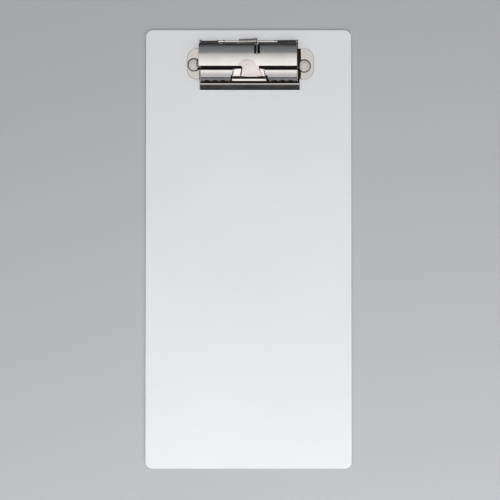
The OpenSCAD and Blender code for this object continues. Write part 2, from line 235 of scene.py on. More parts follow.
def add_sheet(shell, loops, surface, thick, edge, grid, arc_steps=4, back=None, fine=(),
              dull=(PLATED,) * 3, shade=None):
    """A sheet cut to the loops, laid on a surface, with rounded edges and a thickness under it.
    Loops have the material on their left, in the surface's own (u, v). back is the underside where it
    doesn't follow the surface, and fine lists (u0, u1, v0, v1, step) patches with more corners. dull holds
    the finish of the top, the rim and the underside, and shade, where given, the top's finish at a place."""
    loops = [divided(np.asarray(l, float), min(grid) * 1.01) for l in loops]
    vectors = [inward(l) for l in loops]
    cuts = [(edge * (1 - math.sin(a)), edge * (1 - math.cos(a)), a)
            for a in np.linspace(0, math.pi / 2, arc_steps + 1)]
    rows = [(d, h, a) for d, h, a in cuts] + [(d, thick - h, math.pi - a) for d, h, a in reversed(cuts)]
    ring_start = []
    points, normals, faces = [], [], []
    total = 0
    for loop, vec in zip(loops, vectors):
        n = len(loop)
        ring_start.append(total)
        for d, h, a in rows:
            p = loop + vec * d
            on_back = back and a > math.pi / 2 - 0.01 and h > thick / 2
            base, depth = (back, h - thick) if on_back else (surface, h)
            place, up, du, dv = frame_at(base, p[:, 0], p[:, 1])
            out = -(vec[:, :1] * du + vec[:, 1:] * dv)
            out /= np.linalg.norm(out, axis=1)[:, None]
            points.append(place - up * depth)
            normals.append(up * math.cos(a) + out * math.sin(a))
        for k in range(len(rows) - 1):
            for i in range(n):
                j = (i + 1) % n
                low, high = total + k * n, total + (k + 1) * n
                faces.append([low + i, high + i, high + j, low + j])
        total += n * len(rows)
    # the two faces, from one triangulation of the inset loops and a grid between them
    rim = [loop + vec * edge for loop, vec in zip(loops, vectors)]
    everything = np.concatenate(rim)
    lo, hi = everything.min(0), everything.max(0)
    u = np.linspace(lo[0], hi[0], max(2, math.ceil((hi[0] - lo[0]) / grid[0])) + 1)
    v = np.linspace(lo[1], hi[1], max(2, math.ceil((hi[1] - lo[1]) / grid[1])) + 1)
    spots = np.stack(np.meshgrid(u, v), -1).reshape(-1, 2)
    for u0, u1, v0, v1, step in fine:
        spots = spots[~((spots[:, 0] > u0) & (spots[:, 0] < u1) & (spots[:, 1] > v0) & (spots[:, 1] < v1))]
        more = np.meshgrid(np.arange(u0, u1, step), np.arange(v0, v1, step))
        spots = np.concatenate([spots, np.stack(more, -1).reshape(-1, 2)])
    spots = spots[inside(spots, rim)]
    spots = spots[clear_of(spots, rim, 0.3 * min(grid))]
    flat = np.concatenate([everything, spots])
    edges, start = [], 0
    for loop in rim:
        edges += [(start + i, start + (i + 1) % len(loop)) for i in range(len(loop))]
        start += len(loop)
    found = delaunay_2d_cdt([Vector(p) for p in flat], edges, [], 0, 1e-7)
    if len(found[0]) != len(flat):
        raise ValueError("an outline crosses itself")
    origin = [o[0] for o in found[3]]
    tris = np.array([[origin[i] for i in t] for t in found[2]])
    tris = tris[inside(flat[tris].mean(1), rim)]
    # corners of the faces: ring corners already made, and new ones inside
    top_id, bottom_id = np.zeros(len(flat), int), np.zeros(len(flat), int)
    start = 0
    for loop, first in zip(rim, ring_start):
        n = len(loop)
        top_id[start:start + n] = first + np.arange(n)
        bottom_id[start:start + n] = first + (len(rows) - 1) * n + np.arange(n)
        start += n
    place, up, _, _ = frame_at(surface, spots[:, 0], spots[:, 1])
    under, down = place - up * thick, -up
    if back:
        under, down, _, _ = frame_at(back, spots[:, 0], spots[:, 1])
        down = -down
    points += [place, under]
    normals += [up, down]
    top_id[start:] = total + np.arange(len(spots))
    bottom_id[start:] = total + len(spots) + np.arange(len(spots))
    for t in tris:
        a, b, c = flat[t]
        if (b[0] - a[0]) * (c[1] - a[1]) - (b[1] - a[1]) * (c[0] - a[0]) < 0:
            t = t[::-1]
        faces.append([top_id[i] for i in t])
        faces.append([bottom_id[i] for i in t[::-1]])
    finish = [dull[1]] * (len(faces) - 2 * len(tris))
    for t in tris:
        middle = np.mean([flat[i] for i in t], axis=0)
        finish += [shade(*middle) if shade else dull[0], dull[2]]
    shell.add(np.concatenate(points), np.concatenate(normals), faces, finish)


def level(z):
    """A flat surface facing up."""
    return lambda x, y: np.stack([x, y, np.full_like(x, z)], 1)


def facing_x(x):
    """A flat surface facing +X, drawn as (y, z)."""
    return lambda y, z: np.stack([np.full_like(y, x), y, z], 1)


def facing_front(y):
    """A flat surface facing -Y, drawn as (x, z)."""
    return lambda x, z: np.stack([x, np.full_like(x, y), z], 1)


def add_lathe(shell, profile, place, steps=64):
    """A closed profile of (radius, height), turned round an axis; place maps (n, 3) points to the frame."""
    profile = np.asarray(profile, float)
    before = np.diff(profile, axis=0, prepend=profile[:1])
    after = np.diff(profile, axis=0, append=profile[-1:])
    run = before + after
    slope = np.stack([run[:, 1], -run[:, 0]], 1)
    slope[0], slope[-1] = (0, -1), (0, 1)
    angles = np.linspace(0, 2 * math.pi, steps, endpoint=False)
    ring = np.stack([np.cos(angles), np.sin(angles)], 1)
    points, normals, faces = [[0, 0, profile[0, 1]]], [[0, 0, -1]], []
    for (r, h), (nr, nh) in zip(profile[1:-1], slope[1:-1]):
        points += [[r * c, r * s, h] for c, s in ring]
        normals += [[nr * c, nr * s, nh] for c, s in ring]
    points.append([0, 0, profile[-1, 1]])
    normals.append([0, 0, 1])
    rows = len(profile) - 2
    for i in range(steps):
        j = (i + 1) % steps
        faces.append([0, 1 + j, 1 + i])
        for k in range(rows - 1):
            a, b = 1 + k * steps, 1 + (k + 1) * steps
            faces.append([a + i, a + j, b + j, b + i])
        last = 1 + (rows - 1) * steps
        faces.append([last + i, last + j, len(points) - 1])
    points, normals = np.array(points, float), np.array(normals, float)
    origin = place(np.zeros((1, 3)))
    shell.add(place(points), place(normals) - origin, faces)


def add_wire(shell, route, r, sides=14):
    """A round wire along a route of points, with softly rounded ends."""
    route = np.asarray(route, float)
    heading = np.gradient(route, axis=0)
    heading /= np.linalg.norm(heading, axis=1)[:, None]
    route = np.concatenate([[route[0] - heading[0] * 0.3 * r], route, [route[-1] + heading[-1] * 0.3 * r]])
    heading = np.concatenate([heading[:1], heading, heading[-1:]])
    radius = np.full(len(route), r)
    radius[0] = radius[-1] = 0.62 * r
    u = np.array([1.0, 0, 0]) - heading[:, :1] * heading
    u /= np.linalg.norm(u, axis=1)[:, None]
    v = np.cross(heading, u)
    a = np.linspace(0, 2 * math.pi, sides, endpoint=False)
    out = u[:, None] * np.cos(a)[None, :, None] + v[:, None] * np.sin(a)[None, :, None]
    points = (route[:, None] + out * radius[:, None, None]).reshape(-1, 3)
    faces = []
    for k in range(len(route) - 1):
        for i in range(sides):
            j = (i + 1) % sides
            faces.append([k * sides + i, k * sides + j, (k + 1) * sides + j, (k + 1) * sides + i])
    faces.append(list(range(sides))[::-1])
    faces.append([(len(route) - 1) * sides + i for i in range(sides)])
    shell.add(points, out.reshape(-1, 3), faces)


# ---------------------------------------------------------------- curved surfaces of the jaw
def smooth(t):
    """A soft step from 0 to 1."""
    t = np.clip(t, 0, 1)
    return t * t * (3 - 2 * t)


def path_points(pieces, s):
    """Place and slope along a side-view path. pieces: (length, radius, slope at its start), all going
    forward and down; radius is positive on a hump, negative in a hollow and None where straight."""
    y, z = np.zeros_like(s), np.zeros_like(s)
    y0 = z0 = s0 = 0.0
    for i, (length, r, a0) in enumerate(pieces):
        last = i == len(pieces) - 1
        here = (s >= s0) if last else (s >= s0) & (s < s0 + length)
        if i == 0:
            here |= s < 0

        def at(t):
            if r is None:
                return -t * math.cos(a0), -t * math.sin(a0)
            a = a0 + t / r
            return -r * (np.sin(a) - math.sin(a0)), -r * (math.cos(a0) - np.cos(a))
        dy, dz = at(s - s0)
        y, z = np.where(here, y0 + dy, y), np.where(here, z0 + dz, z)
        ey, ez = at(length)
        y0, z0, s0 = y0 + ey, z0 + ez, s0 + length
    return y, z


ARCH_X, ARCH_HALF, ARCH_LENGTH = -0.6, 4.4, 2.8    # pressed arch where the tongue leaves the cover
ARCH_LIFT = 0.6                        # share of the cover's fall that the arch makes good
TONGUE_ROOT, TONGUE_TIP = (-3.2, 4.65), (-4.3, 7.1)     # the tongue's sides
TONGUE_DROOP, TONGUE_EDGE = (0.55, 0.3), (0.8, 1.3)    # how far, and over what width, its sides turn down
GROOVE_X, GROOVE_HALF, GROOVE_DEPTH = 4.1, 1.6, 0.6     # pressed groove under the spring's leg
GROOVE_Y = PIN_Y - 6.5                 # the groove's front end
NOTCH_HALF, COVER_LUG_X = 14.2, 14.6   # the notch over the pin, and the lugs beside it
TONGUE_BOW = 0.5                       # how far the middle of the tongue's end stands out


def cover_surface(x, s):
    """The cover, with its pressed arch and groove. s is measured from its front edge, to the rear."""
    r = np.where(s >= 0, COVER_R, TONGUE_R)
    a = np.minimum(s / r, FLAT_A)
    straight = s - r * a
    y = CROWN_Y + r * np.sin(a) + straight * np.cos(a)
    z = CROWN_Z - r * (1 - np.cos(a)) - straight * np.sin(a)
    arch = np.hypot((x - ARCH_X) / ARCH_HALF, np.maximum(s, 0) / ARCH_LENGTH)
    z = z + ARCH_LIFT * (CROWN_Z - z) * smooth((1.2 - arch) / 0.4) * (s > 0)
    along = np.clip(-s / (TONGUE_R * TONGUE_END), 0, 1)
    for side, sign in ((0, 1), (1, -1)):
        edge = TONGUE_ROOT[side] + (TONGUE_TIP[side] - TONGUE_ROOT[side]) * along
        near = np.clip(sign * (x - edge) / TONGUE_EDGE[side], 0, 1)
        z = z - TONGUE_DROOP[side] * (1 - near) ** 1.6 * smooth((-s - 0.2) / 1.2)
    across = smooth((GROOVE_HALF - np.abs(x - GROOVE_X)) / 1.1)
    down = GROOVE_DEPTH * across * smooth((y - GROOVE_Y) / 0.7)
    return np.stack([x, y - down * np.sin(a), z - down * np.cos(a)], 1)


def cover_back(y):
    """Distance along the cover, from its front edge, at a place y along the board."""
    reach = y - CROWN_Y
    flat = COVER_R * math.sin(FLAT_A)
    if reach < flat:
        return COVER_R * math.asin(reach / COVER_R)
    return COVER_R * FLAT_A + (reach - flat) / math.cos(FLAT_A)


HUMP_R = TONGUE_R - SHEET - 0.03
HUMP_Z = CROWN_Z - TONGUE_R - 0.55     # low enough for the tongue's turned-down sides
HUMP_HALF, HUMP_CORNER, HUMP_WALL = 7.35, 2.0, 0.55
HUMP_REAR = 0.54                       # how far the hump reaches behind the jaw's rear edge
SIDE_BEND, SIDE_LEG = 0.7, 0.45        # the jaw's sheet bent down into its cheeks
FACE_PATH = [(JAW_R[0] * (JAW_A[1] - JAW_A[0]), JAW_R[0], JAW_A[0]),
             (JAW_R[1] * (JAW_A[2] - JAW_A[1]), JAW_R[1], JAW_A[1]),
             ((TEETH_Y - TIP_Y) / math.cos(JAW_A[2]), None, JAW_A[2])]
FACE_LENGTH = sum(p[0] for p in FACE_PATH)
HUMP_A0, HUMP_A1 = math.asin((CROWN_Y - SLOT_Y) / HUMP_R), math.asin(4.8 / HUMP_R)
WALL_A, LIP_A = math.radians(76), math.radians(14)
TAB_PATH = [(HUMP_R * (HUMP_A1 - HUMP_A0), HUMP_R, HUMP_A0),
            (0.5 * (WALL_A - HUMP_A1), 0.5, HUMP_A1),
            (1.75, None, WALL_A),
            (0.5 * (WALL_A - LIP_A), -0.5, WALL_A),
            (0.9, None, LIP_A)]
TAB_LENGTH = sum(p[0] for p in TAB_PATH)
WINDOW_S = 2.8                         # where the slits beside the finger tab start


def jaw_surface(x, v):
    """The toothed jaw's sheet, with its raised hump, finger tab and bent sides. v runs to the rear, from 0
    at the jaw's rear edge."""
    s = -v
    fy, fz = path_points(FACE_PATH, s)
    ty, tz = path_points(TAB_PATH, s)
    fy, fz = SLOT_Y + fy, SLOT_Z + fz
    ty, tz = SLOT_Y + ty, HUMP_Z + HUMP_R * math.cos(HUMP_A0) + tz
    slit = smooth((s - WINDOW_S + 0.6) / 1.0)
    flare = np.where(x < 0, 0.137, 0.33) * np.clip(s - WINDOW_S, 0, TAB_LENGTH - WINDOW_S)
    corner = HUMP_CORNER * smooth(1 - s / 2.5)
    dx = np.abs(x) - (HUMP_HALF - corner) - slit * (0.6 + flare)
    dy = corner - HUMP_REAR - s
    outside = np.hypot(np.maximum(dx, 0), np.maximum(dy, 0)) + np.minimum(np.maximum(dx, dy), 0) - corner
    w = 1 - smooth(outside / (HUMP_WALL - 0.15 * slit))
    y, z = fy + (ty - fy) * w, fz + (tz - fz) * w
    # bent sides
    over = np.abs(x) - (HALF - SIDE_BEND)
    turn = np.clip(over / SIDE_BEND, 0, math.pi / 2)
    leg = np.maximum(over - SIDE_BEND * math.pi / 2, 0)
    drop = np.where(over > 0, SIDE_BEND * (1 - np.cos(turn)) + leg, 0)
    e = 0.01
    gy, gz = path_points(FACE_PATH, s + e)
    hy, hz = path_points(FACE_PATH, s - e)
    ny, nz = -(hz - gz), (hy - gy)
    length = np.hypot(ny, nz)
    flat_x = np.where(over > 0, np.sign(x) * (HALF - SIDE_BEND + SIDE_BEND * np.sin(turn)), x)
    return np.stack([flat_x, y - drop * ny / length, z - drop * nz / length], 1)


# ---------------------------------------------------------------- pieces
def rivet_holes(r):
    """A round hole at each rivet."""
    return [circle((lo[0] + hi[0]) / 2, (lo[1] + hi[1]) / 2, r + HOLE_GAP) for lo, hi in rivet_box.values()]


def make_board():
    shell = Shell()
    half, end, r = board_hi[0], board_hi[1], BOARD_CORNER
    outline = rounded([(-half, -end, r), (half, -end, r), (half, end, r), (-half, end, r)], 16)
    add_sheet(shell, [outline] + rivet_holes(TAIL_R), level(BOARD_TOP), BOARD_TOP, 0.3, (8.0, 8.0), 5)
    return shell.piece("board_plate")


EAR_GROOVE_X, EAR_GROOVE_HALF, EAR_GROOVE_DEPTH = 23.6, 0.95, 0.55


def base_surface(x, y):
    """Top of the base plate, with a pressed groove at the root of each ear."""
    near = np.clip(1 - np.abs(np.abs(x - BASE_X) - EAR_GROOVE_X) / EAR_GROOVE_HALF, 0, 1)
    return np.stack([x, y, PLATE - EAR_GROOVE_DEPTH * near * (1.5 - 0.5 * near ** 2)], 1)


def make_base():
    shell = Shell()
    ear_half = (base_hi[0] - base_lo[0]) / 2
    ear_y0, ear_y1 = EAR_Y - EAR_HALF_LENGTH, EAR_Y + EAR_HALF_LENGTH
    mid, rear, y_end = RIDGE_HALF, LUG_X + 0.7, PIN_Y + 0.5
    ridge_y = TIP_Y - 0.2
    slot = [x - BASE_X for x in LEG_SLOT]
    window = [x - BASE_X for x in COIL_WINDOW]
    y_front, y_window, y_slot = ridge_y - 0.5, PIN_Y - 2.8, PIN_Y - 7.2

    def half_plan(reach):
        return [(mid, y_front, 0), (mid, ear_y0, 0.6), (reach, ear_y0, EAR_CORNER),
                (reach, ear_y1, EAR_CORNER), (rear, ear_y1, 0.6), (rear, y_end, 0.8)]
    right = half_plan(ear_half + EAR_SHIFT)
    left = [(-x, y, r) for x, y, r in reversed(half_plan(ear_half - EAR_SHIFT))]
    notch = [(window[1], y_end, 0.3), (window[1], y_window, 0.4), (slot[1], y_window, 0.3),
             (slot[1], y_slot, 0.5), (slot[0], y_slot, 0.5), (window[0], y_end, 0.3)]
    outline = rounded(right + notch + left, 8) + np.array([BASE_X, 0])
    fine = [(groove - 1.1, groove + 1.1, ear_y0 - 0.5, ear_y1 + 0.5, 0.25)
            for groove in (BASE_X - EAR_GROOVE_X, BASE_X + EAR_GROOVE_X)]
    # painted shade: the plate under the clip, out into the ear grooves, is near-black
    add_sheet(shell, [outline] + rivet_holes(SHANK_R), base_surface, SHEET, 0.2, (3.0, 1.5),
              back=level(BOARD_TOP), fine=fine,
              shade=lambda x, y: BASE_PAINTED_SHADE if abs(x - BASE_X) < EAR_GROOVE_X + 0.85 else PLATED)
    # front ridge, hollow under its slope
    wall_y, top = ridge_y - RIDGE_TOP, BOARD_TOP + RIDGE_RISE
    foot_y, foot = wall_y - RIDGE_RUN, BOARD_TOP + 0.12
    slope = (top - foot) / (wall_y - foot_y)
    inner_z = top - SHEET / math.cos(math.atan(slope))
    inner_y = wall_y - (inner_z - BOARD_TOP) / slope
    ridge = rounded([(ridge_y, top, 0.22), (wall_y, top, 0.35), (foot_y, foot, 0.1),
                     (foot_y, BOARD_TOP, 0), (inner_y, BOARD_TOP, 0), (wall_y, inner_z, 0),
                     (wall_y, BOARD_TOP, 0), (ridge_y, BOARD_TOP, 0)])
    add_sheet(shell, [ridge], facing_x(BASE_X + mid), 2 * mid, 0.06, (1.0, 1.0))
    # lugs that hold the pin
    for side in (-1, 1):
        lug = np.concatenate([from_vertical(PIN_Y, PIN_Z, EYE_R, 90, -60, 24),
                              [(PIN_Y - 4, BOARD_TOP + 0.2), (PIN_Y + 0.45, BOARD_TOP + 0.2)]])
        x = BASE_X + side * LUG_X + SHEET / 2
        add_sheet(shell, [lug], facing_x(x), SHEET, 0.12, (2.0, 2.0))
    # bridge over the spring's fixed leg
    inner, wall, height = 0.75, 0.7, 1.45
    z0, z1 = PLATE - 0.3, PLATE + 0.75
    arch = rounded([(-inner - wall, z0, 0), (-inner, z0, 0), (-inner, z1, 0.3), (inner, z1, 0.3),
                    (inner, z0, 0), (inner + wall, z0, 0), (inner + wall, z1 + wall, 0.5),
                    (-inner - wall, z1 + wall, 0.5)]) + np.array([-4.6, 0])
    add_sheet(shell, [arch], facing_front(PIN_Y - 6), 2.0, 0.12, (1.0, 1.0))
    return shell.piece("clip_base_sheet")


def make_rivet(side):
    shell = Shell()
    lo, hi = rivet_box[side]
    x, y = (lo[0] + hi[0]) / 2, (lo[1] + hi[1]) / 2
    head, top = (hi[0] - lo[0]) / 2, hi[2]
    shoulder, turn0, turn1 = 1.15, math.radians(14), math.radians(84)
    cap_r = (head - shoulder * (math.sin(turn1) - math.sin(turn0))) / math.sin(turn0)
    profile = [(0, 0.03), (2.1, 0.03), (2.38, 0.06), (2.49, 0.18), (TAIL_R, 0.5), (TAIL_R, 0.9),
               (SHANK_R, 1.3), (SHANK_R, PLATE + 0.02), (head - 0.08, PLATE + 0.02), (head, PLATE + 0.08)]
    cap_drop = cap_r * (1 - math.cos(turn0))
    for a in np.linspace(turn1, turn0, 10):
        profile.append((head - shoulder * (math.sin(turn1) - math.sin(a)),
                        top - cap_drop - shoulder * (math.cos(turn0) - math.cos(a))))
    for a in np.linspace(turn0, 0, 12)[1:]:
        profile.append((cap_r * math.sin(a), top - cap_r * (1 - math.cos(a))))
    add_lathe(shell, profile, lambda p: p + np.array([x, y, 0]), 72)
    return shell.piece("rivet_domed_" + side)


def make_pin():
    shell = Shell()
    lo, hi = box_mm("hinge_pin")
    mid, half, r = (lo[0] + hi[0]) / 2, (hi[0] - lo[0]) / 2 - 0.3, 0.65
    end = [(r, 0), (0.86, 0.02), (0.9, 0.07), (0.86, 0.15), (0.7, 0.22), (0.45, 0.275), (0.2, 0.295)]
    profile = [(0, -half - 0.3)] + [(a, -half - b) for a, b in reversed(end)]
    profile += [(r, h) for h in np.linspace(-half, half, 60)[1:-1]]
    profile += [(a, half + b) for a, b in end] + [(0, half + 0.3)]
    add_lathe(shell, profile, lambda p: p[:, [2, 0, 1]] + np.array([mid, PIN_Y, PIN_Z]), 40)
    return shell.piece("hinge_pin_rod")


COIL_X0, COIL_X1, COIL_R, WIRE_R, TURNS = -4.6, 4.0, 1.3, 0.35, 10
COIL_LEAN = 0.45                       # how far the loose coil's free end sits to the rear


def spring_route():
    """Centre line of the wire: fixed leg, coil round the pin, and moving leg in the cover's groove."""
    def polar(centre, r, a):
        a = math.radians(a)
        return centre[0] + r * math.sin(a), centre[1] + r * math.cos(a)
    pin, arch = (PIN_Y, PIN_Z), (CROWN_Y, COVER_Z)
    tip = (PIN_Y - 7.4, PLATE + WIRE_R + 0.03)
    reach = (pin[0] - tip[0], pin[1] - tip[1])
    enter = 180 + math.degrees(math.asin(COIL_R / math.hypot(*reach)) - math.atan2(reach[1], reach[0]))
    span = (pin[0] - arch[0], pin[1] - arch[1])
    leg_r = COVER_R - GROOVE_DEPTH + WIRE_R + 0.04
    leave = math.degrees(math.atan2(*span) - math.acos((leg_r - COIL_R) / math.hypot(*span)))
    sweep = 360 * TURNS + enter - leave
    steps = round(sweep / 12)
    route = [(COIL_X0, tip[0] + t * 1.9, tip[1]) for t in (0, 1, 2)]
    for i in range(steps + 1):
        share = i / steps
        y, z = polar(pin, COIL_R, enter - sweep * share)
        route.append((COIL_X0 + (COIL_X1 - COIL_X0) * share, y + COIL_LEAN * share ** 2, z))
    leg_a = math.degrees(LEG_END)
    for a in np.arange(leave - 1.5, leg_a + 1.5, -1.5):
        y, z = polar(arch, leg_r, a)
        route.append((COIL_X1, y + COIL_LEAN * smooth(1 - (leave - a) / 9), z))
    hook = polar(arch, leg_r - 0.6, leg_a)
    for a in np.arange(0, -91, -15):
        route.append((COIL_X1, *polar(hook, 0.6, leg_a + a)))
    y, z = polar(hook, 0.6, leg_a - 90)
    route.append((COIL_X1, y - 0.9 * math.sin(LEG_END), z - 0.9 * math.cos(LEG_END)))
    return route


def make_spring():
    shell = Shell()
    add_wire(shell, spring_route(), WIRE_R)
    return shell.piece("spring_coil", exact_normals=False)


def cover_finish(x, s):
    """Finish of the cover: painted shade in the groove under the spring's leg, and a darker, rougher plate
    on the tongue and its pressed arch.
    """
    x = x + COVER_X
    # painted shade: the groove under the spring's leg is near-black
    if abs(x - GROOVE_X) < GROOVE_HALF - 0.25 and s > cover_back(GROOVE_Y) + 0.1:
        return PAINTED_SHADE
    arch = math.hypot((x - ARCH_X) / ARCH_HALF, s / ARCH_LENGTH)
    return PRESSED if s < 0 or arch < 1.0 else PLATED


def make_cover():
    shell = Shell()
    s_end = cover_back(REAR_Y)
    notch_s, notch = cover_back(PIN_Y - 1.1), NOTCH_HALF
    tongue_s = -TONGUE_R * TONGUE_END
    tl, tr = ([(end[side] - COVER_X, s) for end, s in ((TONGUE_ROOT, 0), (TONGUE_TIP, tongue_s))]
              for side in (0, 1))
    corners = [(-HALF, 0, 0.35), (tl[0][0], 0, 0.5), (tl[1][0], tongue_s + TONGUE_BOW, 0.6)]
    mid_x = (tl[1][0] + tr[1][0]) / 2
    for t in np.linspace(-0.8, 0.8, 9):
        corners.append((mid_x + t * (tr[1][0] - mid_x), tongue_s + TONGUE_BOW * t * t, 0))
    corners += [(tr[1][0], tongue_s + TONGUE_BOW, 0.6), (tr[0][0], 0, 0.5), (HALF, 0, 0.35),
                (HALF, s_end - 0.4, 0.6), (HALF - 0.6, s_end + 0.65, 0.5),
                (notch, s_end + 0.5, 0.4), (notch, notch_s, 0.5), (-notch, notch_s, 0.8),
                (-notch, s_end, 0.5), (-HALF + 1.1, s_end - 0.1, 0.5), (-HALF, s_end - 2.1, 0.8)]
    outline = rounded(corners)
    hole = circle(COIL_X1 - COVER_X, COVER_R * LEG_END - 0.6, 0.5, 24)
    fine = [(GROOVE_X - COVER_X - 1.8, GROOVE_X - COVER_X + 1.8, cover_back(GROOVE_Y) - 0.4, s_end, 0.17),
            (-6.3, 6.3, -0.5, 3.8, 0.3), (-4.2, 7.6, tongue_s, -0.5, 0.2)]
    # the cover's underside is painted shade
    add_sheet(shell, [outline, hole], lambda x, s: cover_surface(x + COVER_X, s), SHEET, 0.17, (1.2, 0.45),
              fine=fine, dull=(PLATED, PLATED, INSIDE_SHADE), shade=cover_finish)
    # inner lugs on the pin
    for side in (-1, 1):
        x = COVER_X + side * COVER_LUG_X + SHEET / 2
        lug = np.concatenate([from_vertical(CROWN_Y, COVER_Z, COVER_R - 0.3, 33, 42.5, 8),
                              from_vertical(PIN_Y, PIN_Z, EYE_R, 20, 230, 30),
                              from_vertical(CROWN_Y, COVER_Z, COVER_R - 3, 43, 33, 6)])[::-1]
        add_sheet(shell, [lug], facing_x(x), SHEET, 0.12, (2.0, 2.0))
    return shell.piece("jaw_cover_sheet")


TOOTH_NOTCHES = (12.5, 16.35, 20.2)    # places of the notches between the teeth, from the jaw's middle
NOTCH_R, NOTCH_DEPTH = 1.32, 2.45


def tooth_edge(centres, s_tip):
    """Corners along the row of teeth, from left to right: a rounded notch at each centre."""
    half, depth = NOTCH_R, NOTCH_DEPTH
    out = []
    for c in centres:
        out += [(c - half, s_tip, 0.25), (c - half, s_tip + depth, half - 0.01),
                (c + half, s_tip + depth, half - 0.01), (c + half, s_tip, 0.25)]
    return out


WALL_S, WALL_LENGTH = TAB_PATH[0][0] - 0.13, 2.8     # the painted shade on the finger tab's wall


def jaw_finish(x, v):
    """Finish of the jaw's face: painted shade on the tab's wall under the tongue's end, and on the steep
    face of the teeth.
    """
    # painted shade: the tab's wall under the tongue's end is near-black
    if abs(x) < 8.0 and WALL_S < -v < WALL_S + WALL_LENGTH:
        return PAINTED_SHADE
    bend = FACE_PATH[0][0] + 0.45 * FACE_PATH[1][0]
    return TEETH_SHADE if abs(x) > 8.0 and -v > bend else PLATED


def make_jaw():
    shell = Shell()
    tip, lip = -FACE_LENGTH, -TAB_LENGTH
    side = HALF - SIDE_BEND + SIDE_BEND * math.pi / 2 + SIDE_LEG
    corners = [(-side, tip, 0.3)] + tooth_edge([-c for c in reversed(TOOTH_NOTCHES)], tip)
    corners += [(-9.2, tip, 0.3), (-8.55, -WINDOW_S, 0.4), (-7.75, -WINDOW_S, 0.35),
                (-7.75, -5.2, 1.0), (-8.45, lip, 0.4), (9.2, lip, 0.4), (7.85, -5.2, 1.0),
                (7.85, -WINDOW_S, 0.35), (8.8, -WINDOW_S, 0.4), (10.5, tip, 0.3)]
    corners += tooth_edge(TOOTH_NOTCHES, tip)
    corners += [(side, tip, 0.3), (side, 0, 0.3), (7.9, 0, 0.3), (7.1, HUMP_REAR, 0.8),
                (-7.1, HUMP_REAR, 0.8), (-7.9, 0, 0.3), (-side, 0, 0.3)]
    outline = rounded(corners)
    fine = [(-8.6, -6.6, -3.0, 0.8, 0.15), (6.6, 8.6, -3.0, 0.8, 0.15),
            (-7.6, 7.6, -WALL_S - WALL_LENGTH, -3.0, 0.2)]
    # the jaw's underside is painted shade
    add_sheet(shell, [outline], lambda x, v: jaw_surface(x, v) + np.array([JAW_X, 0, 0]),
              SHEET, 0.17, (0.5, 0.35), fine=fine, dull=(PLATED, PLATED, INSIDE_SHADE), shade=jaw_finish)
    # cheeks
    jy, jz = BEND_Y + JAW_R[0] * math.sin(JAW_A[1]), BEND_Z - JAW_R[0] * math.cos(JAW_A[1])
    by, bz = BEND_Y + JAW_R[1] * math.sin(JAW_A[1]), BEND_Z - JAW_R[1] * math.cos(JAW_A[1])
    under, band, slack = SHEET + 0.12, 3.0, 0.012
    deep, low = 0.78, PLATE + 0.3
    deg = [math.degrees(a) for a in JAW_A]
    lower = [(TIP_Y + 0.8, low), (CROWN_Y - 4.15, low)]
    cheek = np.concatenate([
        lower,
        from_vertical(by, bz, JAW_R[1] - band, -deg[2], -deg[1], 4),
        from_vertical(jy, jz, JAW_R[0] - band, -deg[1], -deg[0], 8)[1:],
        from_vertical(CROWN_Y, COVER_Z, COVER_R - under - band, -1.5, 42.6, 24),
        from_vertical(PIN_Y, PIN_Z, EYE_R, 210, 56, 24),
        from_vertical(CROWN_Y, COVER_Z, COVER_R - under + 0.05, 45.5, -4.5, 34),
        from_vertical(jy, jz, JAW_R[0] - deep, -deg[0] - 1, -deg[1], 8),
        from_vertical(by, bz, JAW_R[1] - deep, -deg[1], -deg[2], 6)[1:],
    ])
    # the cheeks' inner faces and edges are painted shade
    for sign in (-1, 1):
        x = JAW_X + sign * (HALF - SHEET / 2) + SHEET / 2 - slack
        add_sheet(shell, [cheek], facing_x(x), SHEET - 2 * slack, 0.1, (1.5, 1.5),
                  dull=(PLATED, INSIDE_SHADE, INSIDE_SHADE) if sign > 0 else (INSIDE_SHADE, INSIDE_SHADE, PLATED))
    return shell.piece("toothed_jaw_sheet")


# ---------------------------------------------------------------- materials
class Nodes:
    """A material's node tree with short ways to add and join nodes."""

    def __init__(self, name):
        self.material = bpy.data.materials.new(name)
        self.material.use_nodes = True
        self.tree = self.material.node_tree
        self.shader = self.tree.nodes["Principled BSDF"]

    def add(self, kind, **values):
        node = self.tree.nodes.new(kind)
        for key, value in values.items():
            if hasattr(node, key):
                setattr(node, key, value)
            else:
                node.inputs[key.replace("_", " ")].default_value = value
        return node

    def join(self, source, out, target, name):
        self.tree.links.new(source.outputs[out], target.inputs[name])

    def place(self, scale):
        """Object coordinates stretched by scale."""
        coords = self.add("ShaderNodeTexCoord")
        mapping = self.add("ShaderNodeMapping")
        mapping.inputs["Scale"].default_value = scale
        self.join(coords, "Object", mapping, "Vector")
        return mapping

    def noise(self, scale, detail=4.0, stretch=(1, 1, 1)):
        mapping = self.place(stretch)
        node = self.add("ShaderNodeTexNoise", Scale=scale, Detail=detail)
        self.join(mapping, "Vector", node, "Vector")
        return node

    def span(self, source, out, low, high, from_low=0.3, from_high=0.7):
        """The source's value brought from one range to another."""
        node = self.add("ShaderNodeMapRange")
        ends = {"From Min": from_low, "From Max": from_high, "To Min": low, "To Max": high}
        for key, value in ends.items():
            node.inputs[key].default_value = value
        self.join(source, out, node, "Value")
        return node

    def tint(self, source, a, b):
        """Base colour that wanders between a and b with the source's value."""
        mix = self.add("ShaderNodeMix", data_type="RGBA")
        mix.inputs["A"].default_value = (*a, 1)
        mix.inputs["B"].default_value = (*b, 1)
        self.join(self.span(source, "Fac", 0, 1), "Result", mix, "Factor")
        self.join(mix, "Result", self.shader, "Base Color")

    def bump(self, source, out, strength, distance, under=None):
        node = self.add("ShaderNodeBump", Strength=strength, Distance=distance)
        self.join(source, out, node, "Height")
        if under is not None:
            self.join(under, "Normal", node, "Normal")
        return node


